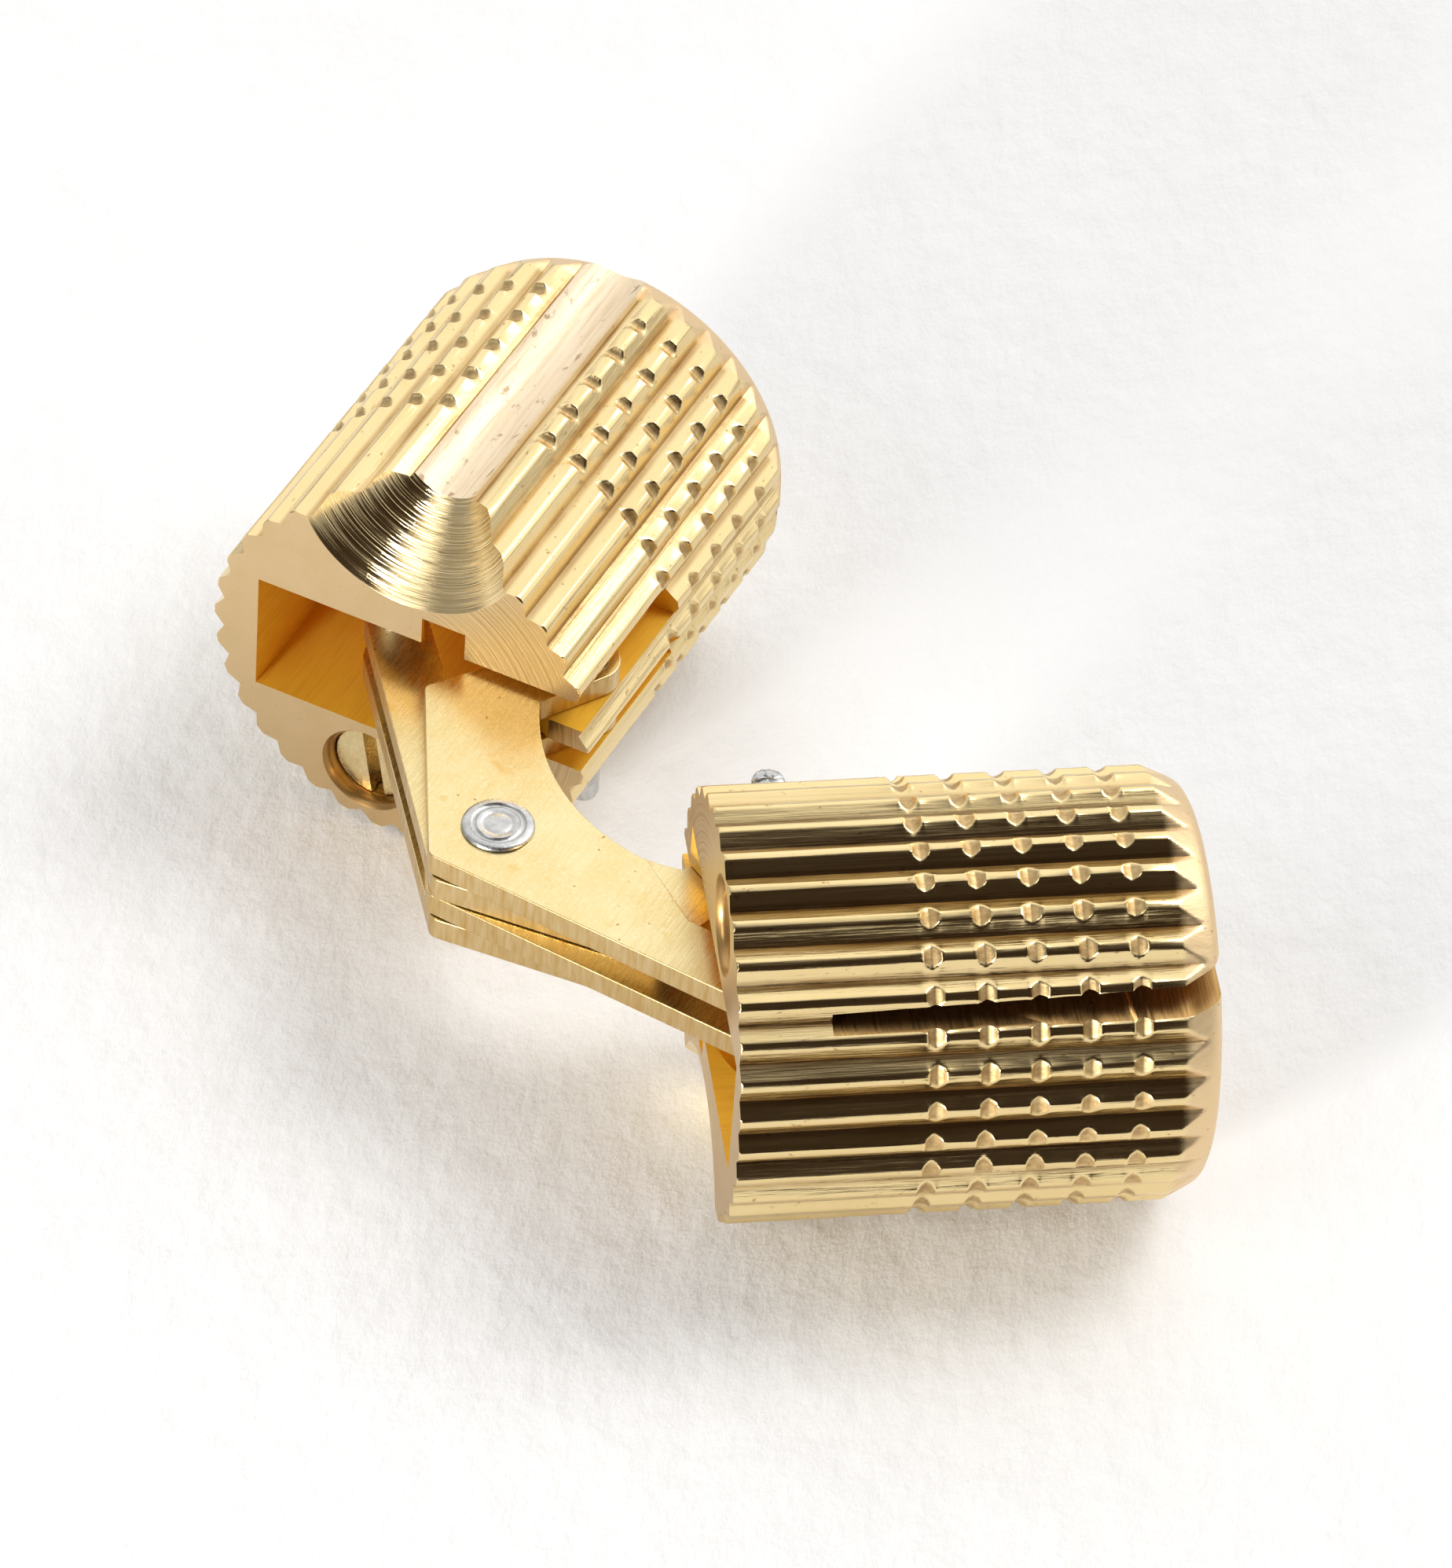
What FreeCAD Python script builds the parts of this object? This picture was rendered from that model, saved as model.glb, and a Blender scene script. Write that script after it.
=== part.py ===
import FreeCAD, Part
import math
import os

from FreeCAD import Vector

# Concealed barrel hinge, lying half open. All sizes in millimetres, all angles in degrees.
# Origin: centre of barrel A's front face. +Y runs into barrel A along its axis, +X points to the
# barrel's inner side, where the links come out, and +Z is up, along the rivet.
# Barrel B is the same piece turned over about the fold line, and so are its link plates.

# Barrel
barrel_d = 14.0
barrel_length = 15.4
ridge_count = 34
ridge_depth = 0.38
ridge_top_width = 0.3
back_chamfer = 0.42
back_chamfer_length = 1.3

# Cross notches over the ridges
notch_count = 5
notch_first = 6.2
notch_pitch = 1.64
notch_depth = 0.24
notch_floor = 0.14
notch_mouth = 0.6

# Pocket for the links, milled in from the face, by the walls left round it and the room about the links
outer_wall_t = 1.65
inner_wall_t = 2.4
step_wall_t = 4.4
floor_room = 0.8525
roof_room = 0.3025
pocket_depth = 12.6
step_depth = 6.6
lead_in_width = 0.9
groove_stations = 8

# Countersunk channel for a wood screw, along the top
channel_r = 1.5
channel_rise = 0.62
countersink_r = 4.2

# Expanding screw, its hole and the saw kerf that it spreads, with the metal left above and below it
screw_web_above = 0.6
screw_web_below = 0.9
screw_side = -1.1
screw_length = 6.5
screw_recess = 0.5
screw_tip_r = 0.7
screw_tip_length = 1.6
screw_slot_width = 0.5
screw_slot_depth = 0.9
screw_slot_turn = 62.0
screw_hole_depth = 9.0
screw_hole_mouth = 0.2
drill_point = 120.0
kerf_start = 2.95
kerf_rise = 0.61
kerf_front = 0.46
kerf_back = 0.86

# Link plates: four layers, two plates to a set
plate_t = 0.84
layer_pitch = 0.885
link_length = 8.57
guide_length = 11.2
guide_angle_closed = 91.5
pivot_lobe_r = 1.0
guide_lobe_r = 1.05
neck_half_width = 0.65
heel_along = -2.05
heel_side = 1.61
heel_round = 0.4
toe_along = 5.25
toe_side = 4.56
toe_round = 0.3
hollow_along = 7.935
hollow_side = -6.68
hollow_r = 7.7
finger_root = 6.0

# Pins and rivet
pivot_edge = 1.25
pivot_y = 2.4
pivot_pin_r = 0.55
pivot_pin_seat = 0.35
pivot_pin_proud = 0.35
guide_pin_r = 0.65
guide_pin_rise = 0.95
groove_head_gap = 0.12
rivet_r = 0.9
rivet_head_r = 1.2
rivet_head = 0.15
rivet_bevel = 0.08
rivet_ring_r = 0.78
rivet_ring_width = 0.1
rivet_ring_depth = 0.05

# Motion: the fold is 0 when the faces meet and 180 when the barrels lie side by side.
# The first link set turns by turn_ratio of the fold in its barrel.
fold_rest = 124.15
fold_open = 180.0
turn_ratio = 0.65

# Clearances
running_gap = 0.04
seat_gap = 0.02
slot_gap = 0.04
screw_gap = 0.05
groove_gap = 0.15
stop_gap = 0.12

# Values worked out from the sizes above
barrel_r = barrel_d / 2
over = barrel_d
lean = math.degrees(math.asin(pivot_y / link_length))
layer_z = [(1.5 - k) * layer_pitch for k in range(4)]
stack_half = layer_z[0] + plate_t / 2
pocket_outer_wall = barrel_r - outer_wall_t
pocket_inner_wall = barrel_r - inner_wall_t
step_side = barrel_r - step_wall_t
pocket_floor = stack_half + floor_room
pocket_roof = stack_half + roof_room
channel_height = barrel_r + channel_rise
screw_r = (barrel_r - pocket_floor - screw_web_above - screw_web_below) / 2
screw_height = -(pocket_floor + screw_web_above + screw_r)
pivot_x = barrel_r - pivot_edge
pivot_pin_top = pocket_roof + pivot_pin_seat
guide_pin_top = pocket_roof + guide_pin_rise
groove_roof = guide_pin_top + groove_head_gap
UP = Vector(0, 0, 1)
ALONG = Vector(0, 1, 0)
ACROSS = Vector(1, 0, 0)


def polar(r, angle):
    """Plan vector of length r at an angle from +X."""
    a = math.radians(angle)
    return Vector(r * math.cos(a), r * math.sin(a), 0)


def rivet_at(fold):
    """Centre of the rivet in barrel A's frame at a fold."""
    return Vector(pivot_x, pivot_y, 0) + polar(link_length, 180 + lean + turn_ratio * fold)


def guide_direction(fold):
    """Direction from the rivet to the guide pin that slides in barrel A."""
    return guide_angle_closed + (1 - turn_ratio) * fold


def guide_at(fold):
    """Centre of the guide pin that slides in barrel A."""
    return rivet_at(fold) + polar(guide_length, guide_direction(fold))


rivet = rivet_at(fold_rest)
fold_line = polar(1, fold_rest / 2)


def turned_over(shape):
    """The same piece on the other side of the hinge: half a turn about the fold line."""
    other = shape.copy()
    other.rotate(rivet, fold_line, 180)
    return other


def prism(points, direction):
    """Closed polygon swept along a vector."""
    return Part.Face(Part.makePolygon(points + points[:1])).extrude(direction)


def plan_prism(points, low, high):
    """Plan polygon standing from one height to another."""
    return prism([Vector(p.x, p.y, low) for p in points], UP * (high - low))


def post(centre, r, low, high):
    """Upright cylinder."""
    return Part.makeCylinder(r, high - low, Vector(centre.x, centre.y, low), UP)


# Barrel


def ridged_bar():
    """Round bar with narrow-topped ridges along it and a chamfered back end."""
    pitch = 360 / ridge_count
    half_top = math.degrees(ridge_top_width / 2 / barrel_r)
    section = []
    for k in range(ridge_count):
        ridge = k * pitch
        for r, angle in ((barrel_r, ridge - half_top), (barrel_r, ridge + half_top),
                         (barrel_r - ridge_depth, ridge + pitch / 2)):
            a = math.radians(angle)
            section.append(Vector(r * math.cos(a), 0, r * math.sin(a)))
    bar = prism(section, ALONG * barrel_length)
    chamfer_at = barrel_length - back_chamfer_length
    profile = [Vector(0, 0, 0), Vector(barrel_r, 0, 0), Vector(barrel_r, chamfer_at, 0),
               Vector(barrel_r - back_chamfer, barrel_length, 0), Vector(0, barrel_length, 0)]
    turned = Part.Face(Part.makePolygon(profile + profile[:1])).revolve(Vector(), ALONG, 360)
    return bar.common(turned)


def notch_ring(y):
    """Ring whose section is one cross notch, reaching past the ridge tops."""
    slope = (notch_mouth - notch_floor) / 2 / notch_depth
    outer = barrel_r + notch_depth
    half = notch_mouth / 2 + slope * notch_depth
    inner = barrel_r - notch_depth
    section = [Vector(inner, y - notch_floor / 2, 0), Vector(inner, y + notch_floor / 2, 0),
               Vector(outer, y + half, 0), Vector(outer, y - half, 0)]
    return Part.Face(Part.makePolygon(section + section[:1])).revolve(Vector(), ALONG, 360)


def pocket():
    """Stepped pocket, with a lead-in on the inner wall for the sliding links when fully open."""
    lead_in_depth = lead_in_width * math.tan(math.radians(180 - guide_direction(fold_open)))
    plan = [Vector(-pocket_outer_wall, -over, 0), Vector(pocket_inner_wall + lead_in_width, -over, 0),
            Vector(pocket_inner_wall + lead_in_width, 0, 0), Vector(pocket_inner_wall, lead_in_depth, 0),
            Vector(pocket_inner_wall, step_depth, 0), Vector(step_side, step_depth, 0),
            Vector(step_side, pocket_depth, 0), Vector(-pocket_outer_wall, pocket_depth, 0)]
    return plan_prism(plan, -pocket_floor, pocket_roof)


def link_slots():
    """Openings in the inner wall for the two plates that pivot in this barrel."""
    plan = [Vector(step_side, -over, 0), Vector(over, -over, 0), Vector(over, step_depth, 0),
            Vector(step_side, step_depth, 0)]
    half = plate_t / 2 + slot_gap
    upper = plan_prism(plan, layer_z[0] - half, pocket_roof)
    lower = plan_prism(plan, layer_z[2] - half, layer_z[2] + half)
    return [upper, lower]


def guide_groove():
    """Curved groove in the pocket's roof along the guide pin's path, running out at the face."""
    half = guide_pin_r + groove_gap
    folds = [fold_open * k / groove_stations for k in range(groove_stations + 1)]
    path = [guide_at(f) for f in folds]
    spline = Part.BSplineCurve()
    spline.interpolate(path)
    tangents = [spline.tangent(spline.parameter(p))[0] for p in path]
    sides = [Vector(-t.y, t.x, 0).normalize() * half for t in tangents]
    left = Part.BSplineCurve()
    left.interpolate([p + s for p, s in zip(path, sides)])
    right = Part.BSplineCurve()
    right.interpolate([p - s for p, s in zip(path, sides)][::-1])
    ends = [left.StartPoint, left.EndPoint, right.StartPoint, right.EndPoint]
    wire = Part.Wire([left.toShape(), Part.makeLine(ends[1], ends[2]), right.toShape(),
                      Part.makeLine(ends[3], ends[0])])
    sweep = Part.Face(wire).extrude(UP * groove_roof)
    run_out = plan_prism([path[-1] + ACROSS * -half, path[-1] + ACROSS * half,
                          Vector(path[-1].x + half, -over, 0), Vector(path[-1].x - half, -over, 0)],
                         0, groove_roof)
    rounds = [post(p, half, 0, groove_roof) for p in (path[0], path[-1])]
    return [sweep, run_out] + rounds


def screw_channel():
    """Half-open channel along the top for a wood screw, with its countersink at the face."""
    start = Vector(0, 0, channel_height)
    channel = Part.makeCylinder(channel_r, barrel_length + over, start, ALONG)
    cone = Part.makeCone(countersink_r, channel_r, countersink_r - channel_r, start, ALONG)
    return [channel, cone]


def screw_hole():
    """Tapped hole of the expanding screw, with a chamfered mouth and a drilled end."""
    r = screw_r + screw_gap
    mouth = Vector(screw_side, 0, screw_height)
    bore = Part.makeCylinder(r, screw_hole_depth, mouth, ALONG)
    point_length = r / math.tan(math.radians(drill_point / 2))
    drill_end = Part.makeCone(r, 0, point_length, mouth + ALONG * screw_hole_depth, ALONG)
    chamfer = Part.makeCone(r + screw_hole_mouth, r, screw_hole_mouth, mouth, ALONG)
    return [bore, drill_end, chamfer]


def saw_kerf():
    """Saw cut from the back through the screw's hole, straight above and spread downwards below."""
    spread = (kerf_back - kerf_front) / (barrel_length - kerf_start)
    far = barrel_length + over
    top = screw_height + kerf_rise
    section = [Vector(-over, kerf_start, top - kerf_front), Vector(-over, kerf_start, top),
               Vector(-over, far, top), Vector(-over, far, top - kerf_front - spread * (far - kerf_start))]
    return prism(section, ACROSS * 2 * over)


def barrel():
    """Barrel A with every cut that its twin has too."""
    pin_hole = post(Vector(pivot_x, pivot_y, 0), pivot_pin_r + seat_gap, -over, pivot_pin_top + seat_gap)
    cuts = [pocket(), saw_kerf(), pin_hole]
    cuts += link_slots() + guide_groove() + screw_channel() + screw_hole()
    cuts += [notch_ring(notch_first + k * notch_pitch) for k in range(notch_count)]
    return ridged_bar().cut(cuts)


# Links


def link_point(along, side):
    """Plan point of link set A, from the rivet along the line to the pivot and to its left."""
    ahead = polar(1, lean + turn_ratio * fold_rest)
    return rivet + ahead * along + Vector(-ahead.y, ahead.x, 0) * side


def tangent_point(point, centre, r, side):
    """Where a line from a point touches a circle, with the centre to the line's left or right."""
    to_centre = centre - point
    reach = math.sqrt(to_centre.Length ** 2 - r ** 2)
    bearing = math.degrees(math.atan2(to_centre.y, to_centre.x))
    offset = math.degrees(math.asin(r / to_centre.Length))
    return point + polar(reach, bearing - side * offset)


def stands_on(edge, corner):
    """Whether an edge stands upright on a plan point."""
    return all((v.Point - corner).cross(UP).Length < Part.Precision.confusion() for v in edge.Vertexes)


def link_plate(layer):
    """One stamped link plate: pivot lobe, hollowed inner edge, stop shoulder and guide lobe."""
    left, right = 1, -1
    pivot = link_point(link_length, 0)
    toe = link_point(toe_along, toe_side)
    heel = link_point(heel_along, heel_side)
    hollow = link_point(hollow_along, hollow_side)

    # The guide end, in steps along and across the line from the rivet to the guide pin
    guide_bearing = turn_ratio * fold_rest - guide_angle_closed
    ahead = polar(1, guide_bearing)
    inward = polar(1, guide_bearing + 90)
    guide = rivet + ahead * guide_length

    # The shoulder lies just in front of the other barrel's face when the hinge is fully open
    angle_open = math.radians(guide_direction(fold_open))
    stop = -rivet_at(fold_open).y - stop_gap
    neck_along = (stop + neck_half_width * math.cos(angle_open)) / math.sin(angle_open)
    neck = rivet + ahead * neck_along + inward * neck_half_width
    shoulder = ahead * math.cos(angle_open) + inward * math.sin(angle_open)

    # Where the shoulder runs out into the hollow
    from_hollow = neck - hollow
    half_b = from_hollow.dot(shoulder)
    c = from_hollow.dot(from_hollow) - hollow_r ** 2
    horn = neck + shoulder * (-half_b - math.sqrt(half_b ** 2 - c))

    root_side = hollow_side + math.sqrt(hollow_r ** 2 - (finger_root - hollow_along) ** 2)
    root = link_point(finger_root, root_side)
    mid_bearing = ((horn - hollow).normalize() + (root - hollow).normalize()).normalize()

    guide_in = tangent_point(heel, guide, guide_lobe_r, left)
    guide_out = tangent_point(neck, guide, guide_lobe_r, right)
    guide_far = guide + ahead * guide_lobe_r
    pivot_in = tangent_point(root, pivot, pivot_lobe_r, left)
    pivot_out = tangent_point(toe, pivot, pivot_lobe_r, right)
    pivot_far = pivot + ((pivot_in + pivot_out) * 0.5 - root).normalize() * pivot_lobe_r

    edges = [Part.makeLine(toe, heel), Part.makeLine(heel, guide_in),
             Part.Arc(guide_in, guide_far, guide_out).toShape(), Part.makeLine(guide_out, neck),
             Part.makeLine(neck, horn), Part.Arc(horn, hollow + mid_bearing * hollow_r, root).toShape(),
             Part.makeLine(root, pivot_in), Part.Arc(pivot_in, pivot_far, pivot_out).toShape(),
             Part.makeLine(pivot_out, toe)]
    low = layer_z[layer] - plate_t / 2
    outline = Part.Wire(edges)
    plate = Part.Face(outline).extrude(UP * plate_t)
    for corner, radius in ((heel, heel_round), (toe, toe_round)):
        plate = plate.makeFillet(radius, [edge for edge in plate.Edges if stands_on(edge, corner)])
    holes = ((rivet, rivet_r + running_gap), (pivot, pivot_pin_r + running_gap),
             (guide, guide_pin_r + seat_gap))
    plate = plate.cut([post(centre, r, -plate_t, 2 * plate_t) for centre, r in holes])
    plate.translate(UP * low)
    return plate


# Pins, rivet and screw


def pivot_pin():
    """Steel pin pressed into barrel A from below, its cut end a little proud."""
    surface = -math.sqrt(barrel_r ** 2 - pivot_x ** 2)
    return post(Vector(pivot_x, pivot_y, 0), pivot_pin_r, surface - pivot_pin_proud, pivot_pin_top)


def guide_pin():
    """Steel pin through link set B's free ends, reaching up into barrel A's groove."""
    return post(guide_at(fold_rest), guide_pin_r, -stack_half, guide_pin_top)


def centre_rivet():
    """Rivet through all four plates, with a low bevelled head and a ring mark at each end."""
    head_low = stack_half + seat_gap
    head_high = head_low + rivet_head
    ring_low = head_high - rivet_ring_depth
    ring_out = rivet_ring_r + rivet_ring_width
    half = [Vector(rivet_r, 0, head_low), Vector(rivet_head_r, 0, head_low),
            Vector(rivet_head_r, 0, head_high - rivet_bevel),
            Vector(rivet_head_r - rivet_bevel, 0, head_high),
            Vector(ring_out, 0, head_high), Vector(ring_out, 0, ring_low),
            Vector(rivet_ring_r, 0, ring_low), Vector(rivet_ring_r, 0, head_high), Vector(0, 0, head_high)]
    profile = half + [Vector(p.x, 0, -p.z) for p in half[::-1]]
    turned = Part.Face(Part.makePolygon(profile + profile[:1])).revolve(Vector(), UP, 360)
    turned.translate(rivet)
    return turned


def expanding_screw():
    """Slotted screw with a tapered tip, set just inside barrel A's face."""
    head = Vector(screw_side, screw_recess, screw_height)
    body_length = screw_length - screw_tip_length
    body = Part.makeCylinder(screw_r, body_length, head, ALONG)
    tip = Part.makeCone(screw_r, screw_tip_r, screw_tip_length, head + ALONG * body_length, ALONG)
    slot = Part.makeBox(screw_slot_width, screw_slot_depth, 4 * screw_r,
                        head + Vector(-screw_slot_width / 2, 0, -2 * screw_r))
    slot.rotate(head, ALONG, screw_slot_turn)
    return body.fuse(tip).removeSplitter().cut(slot)


def main():
    os.makedirs("parts", exist_ok=True)
    pieces = {"barrel_a": barrel(), "pivot_pin_a": pivot_pin(), "expanding_screw_a": expanding_screw(),
              "link_a_upper": link_plate(0), "link_a_lower": link_plate(2), "guide_pin_b": guide_pin(),
              "centre_rivet": centre_rivet()}
    twins = {"barrel_a": "barrel_b", "pivot_pin_a": "pivot_pin_b", "expanding_screw_a": "expanding_screw_b",
             "link_a_upper": "link_b_lower", "link_a_lower": "link_b_upper", "guide_pin_b": "guide_pin_a"}
    for name, twin in twins.items():
        pieces[twin] = turned_over(pieces[name])
    for name, shape in pieces.items():
        shape.exportStep("parts/%s.step" % name)
        print(name, len(shape.Solids), shape.isValid(), round(shape.Volume, 3))


main()
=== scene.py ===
"""Looks of a half-open concealed barrel hinge in polished brass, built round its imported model."""

import math

import bmesh
import bpy
import numpy as np
from mathutils import Matrix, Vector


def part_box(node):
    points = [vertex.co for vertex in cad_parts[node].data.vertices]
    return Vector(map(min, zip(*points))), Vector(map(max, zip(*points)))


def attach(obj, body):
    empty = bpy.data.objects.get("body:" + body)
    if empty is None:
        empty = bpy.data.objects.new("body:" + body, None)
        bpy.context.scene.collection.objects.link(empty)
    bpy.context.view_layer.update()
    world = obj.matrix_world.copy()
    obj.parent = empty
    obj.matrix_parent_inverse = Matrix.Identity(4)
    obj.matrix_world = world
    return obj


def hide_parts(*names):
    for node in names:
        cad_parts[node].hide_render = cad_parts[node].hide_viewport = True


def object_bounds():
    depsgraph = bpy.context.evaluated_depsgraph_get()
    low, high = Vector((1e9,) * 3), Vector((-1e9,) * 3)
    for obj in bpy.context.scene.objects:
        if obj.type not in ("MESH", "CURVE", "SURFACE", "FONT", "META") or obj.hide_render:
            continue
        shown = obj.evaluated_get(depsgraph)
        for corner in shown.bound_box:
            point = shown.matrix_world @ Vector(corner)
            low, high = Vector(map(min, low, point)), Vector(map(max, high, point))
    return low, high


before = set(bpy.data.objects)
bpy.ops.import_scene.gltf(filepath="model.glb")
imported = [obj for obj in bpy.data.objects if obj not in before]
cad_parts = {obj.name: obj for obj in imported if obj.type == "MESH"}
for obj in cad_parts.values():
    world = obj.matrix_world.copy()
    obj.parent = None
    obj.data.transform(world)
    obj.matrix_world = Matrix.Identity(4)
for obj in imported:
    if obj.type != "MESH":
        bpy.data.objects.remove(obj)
cad_low, cad_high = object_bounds()

bl_info = {
    "name": "Concealed Barrel Hinge",
    "version": (1, 0, 0),
    "blender": (4, 5, 0),
    "location": "View3D > Sidebar > Barrel Hinge",
    "description": "Ridged brass barrels, link plates, pins and screws of a concealed hinge",
    "category": "Object",
}

MM = 0.001
# Well outside the hinge, where the cutters end
CLEAR = 20 * MM
# Lead-in at the pocket's mouth, in millimetres
LEAD_IN = 0.9
LEAD_IN_SLOPE = math.radians(25.5)
# Edges that turn by more degrees than this stay crisp
CREASE = 32
PIN_CREASE = 40
SCREW_CREASE = 38
# Film gate in millimetres, and the picture's focal length and width in its own pixels
FILM_WIDTH = 36.0
FOCAL_PIXELS = 11791.7
PICTURE_WIDTH = 1848


def mm_length(name, description, value):
    """Setting for a length, with its default given in millimetres."""
    return bpy.props.FloatProperty(name=name, description=description, default=value * MM, unit="LENGTH")


def watts(name, description, value):
    """Setting for a lamp's power."""
    return bpy.props.FloatProperty(name=name, description=description, default=value, unit="POWER")


def rgb(name, description, value):
    """Setting for a colour."""
    return bpy.props.FloatVectorProperty(
        name=name, description=description, default=value, subtype="COLOR", size=3)


def degrees(name, description, value):
    """Setting for an angle, with its default given in degrees."""
    return bpy.props.FloatProperty(
        name=name, description=description, default=math.radians(value), subtype="ANGLE")


class BarrelSizes(bpy.types.PropertyGroup):
    """Sizes of the two ridged barrels."""

    radius: mm_length("Radius", "Radius over the ridge tops", 7.0)
    length: mm_length("Length", "From the face to the back end", 15.4)
    ridges: bpy.props.IntProperty(
        name="Ridges", description="Number of lengthwise ridges", default=34)
    ridge_depth: mm_length("Ridge Depth", "From a ridge top to the valley beside it", 0.38)
    ridge_top: mm_length("Ridge Top", "Width of a ridge's narrow top", 0.26)
    chamfer: mm_length("Back Chamfer", "How far the back end is turned down", 0.6)
    chamfer_length: mm_length("Chamfer Length", "Length of the turned-down back end", 1.3)
    notches: bpy.props.IntProperty(
        name="Notches", description="Number of cross notches along each ridge", default=5)
    notch_first: mm_length("First Notch", "From the face to the first cross notch", 6.2)
    notch_pitch: mm_length("Notch Spacing", "From one cross notch to the next", 1.64)
    notch_depth: mm_length("Notch Depth", "How deep a cross notch is pressed into a ridge", 0.19)
    slit_width: mm_length("Notch Slit Width", "Width of the slit along a notch's middle", 0.1)
    slit_depth: mm_length("Notch Slit Depth", "Depth of the slit along a notch's middle", 0.02)
    notch_mouth: mm_length("Notch Mouth", "Width of a notch at the ridge top", 0.58)
    phase_a: degrees("Ridge Turn A", "How far barrel A's ridges are turned from its inner side", 0)
    phase_b: degrees("Ridge Turn B", "How far barrel B's ridges are turned from its inner side", 2.1)
    burr: mm_length("Burr", "Height of the lip that a notch pushes up", 0.04)
    lip_offset: mm_length("Lip Offset", "From a notch's mouth out to its lip", 0.03)
    lip_width: mm_length("Lip Width", "Width of a notch's lip", 0.07)
    wave: mm_length("Wave", "How far a ridge top wanders in and out along the barrel", 0.006)
    back_round: mm_length("Back Rounding", "Further fall of the chamfer at the back end's edge", 0.25)
    edge_break: mm_length("Edge Break", "Fall of the broken edge at the face", 0.05)
    edge_length: mm_length("Edge Length", "Length of the broken edge at the face", 0.06)


class PocketSizes(bpy.types.PropertyGroup):
    """Sizes of the cuts in a barrel."""

    outer_wall: mm_length("Outer Wall", "From the axis to the pocket's outer wall", 5.35)
    inner_wall: mm_length("Inner Wall", "From the axis to the pocket's inner wall", 4.6)
    floor: mm_length("Floor", "From the axis down to the pocket's floor", 2.6)
    roof: mm_length("Roof", "From the axis up to the pocket's roof", 2.05)
    depth: mm_length("Depth", "From the face to the pocket's back", 12.6)
    step_side: mm_length("Step Side", "From the axis to the pocket's step", 2.6)
    step_depth: mm_length("Step Depth", "From the face to the pocket's step", 6.6)
    lead_in: mm_length("Lead-in", "How far the inner wall is cut back at the face", LEAD_IN)
    lead_in_depth: mm_length(
        "Lead-in Depth", "How deep that cut-back runs", LEAD_IN * math.tan(LEAD_IN_SLOPE))
    slot_half: mm_length("Slot Half Height", "Half the height of a plate's slot in the inner wall", 0.46)
    groove_half: mm_length("Groove Half Width", "Half the width of the guide pin's groove", 0.8)
    groove_roof: mm_length("Groove Roof", "From the axis up to the groove's roof", 3.12)
    channel_radius: mm_length("Channel Radius", "Radius of the wood-screw channel", 1.5)
    channel_height: mm_length("Channel Height", "From the barrel's axis up to the channel's", 7.62)
    countersink: mm_length("Countersink", "Radius of the countersink at the face", 4.2)
    hole_radius: mm_length("Screw Hole", "Radius of the expanding screw's hole", 1.5)
    hole_depth: mm_length("Hole Depth", "Depth of the expanding screw's hole", 9.0)
    hole_mouth: mm_length("Hole Mouth", "Chamfer at the hole's mouth", 0.2)
    hole_thread: mm_length("Hole Thread", "Depth of the rings in the screw's hole", 0.05)
    kerf_start: mm_length("Kerf Start", "From the face to the end of the saw cut", 2.95)
    kerf_top: mm_length("Kerf Top", "From the barrel's axis to the straight side of the saw cut", -4.04)
    kerf_front: mm_length("Kerf Front", "Height of the saw cut at its end", 0.46)
    kerf_back: mm_length("Kerf Back", "Height of the spread saw cut at the barrel's back", 0.86)
    pin_hole: mm_length("Pin Hole", "Radius of the pivot pin's hole", 0.57)
    pin_hole_top: mm_length("Pin Hole Top", "From the axis up to the end of the pivot pin's hole", 2.42)


class FittingSizes(bpy.types.PropertyGroup):
    """Sizes of the plates, pins, rivet and screws."""

    plate_half: mm_length("Half Plate", "Half the thickness of a link plate", 0.42)
    head_gap: mm_length("Head Gap", "From the outer plates to the rivet's heads", 0.02)
    layer_pitch: mm_length("Layer Pitch", "From one link plate to the next", 0.885)
    edge_round: mm_length("Edge Rounding", "Rounding along the edges of a stamped plate", 0.07)
    pivot_radius: mm_length("Pivot Pin", "Radius of a pivot pin", 0.55)
    guide_radius: mm_length("Guide Pin", "Radius of a guide pin", 0.65)
    rivet_radius: mm_length("Rivet", "Radius of the rivet's shank", 0.9)
    rivet_head: mm_length("Rivet Head", "Radius of the rivet's head", 1.2)
    screw_radius: mm_length("Screw", "Radius over the expanding screw's thread", 1.45)
    thread_pitch: mm_length("Thread Pitch", "From one turn of the thread to the next", 0.5)
    thread_depth: mm_length("Thread Depth", "Depth of the thread", 0.24)
    screw_side: mm_length("Screw Side", "From the barrel's axis sideways to the screw's", -1.1)
    screw_height: mm_length("Screw Height", "From the barrel's axis up to the screw's", -4.65)
    slot_width: mm_length("Screw Slot", "Width of the driver slot", 0.5)
    slot_depth: mm_length("Slot Depth", "Depth of the driver slot", 0.9)
    slot_turn: degrees("Slot Turn", "How far the driver slot is turned from upright", -10)


class HingeColours(bpy.types.PropertyGroup):
    """Colours of the metals and the stage."""

    brass: rgb("Brass", "Polished brass", (0.83, 0.65, 0.34))
    worn_brass: rgb("Worn Brass", "Turned back end of a barrel", (0.78, 0.58, 0.34))
    # Dark brown for the specks and the tarnished notch pits, also used as painted shade in the ridge
    # valleys and the pits
    tarnish: rgb("Tarnish", "Brown tarnish in pits and corners", (0.30, 0.15, 0.045))
    steel: rgb("Steel", "Pins and rivet", (0.46, 0.46, 0.45))
    paper: rgb("Ground", "White ground under the hinge", (0.92, 0.918, 0.915))


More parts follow.
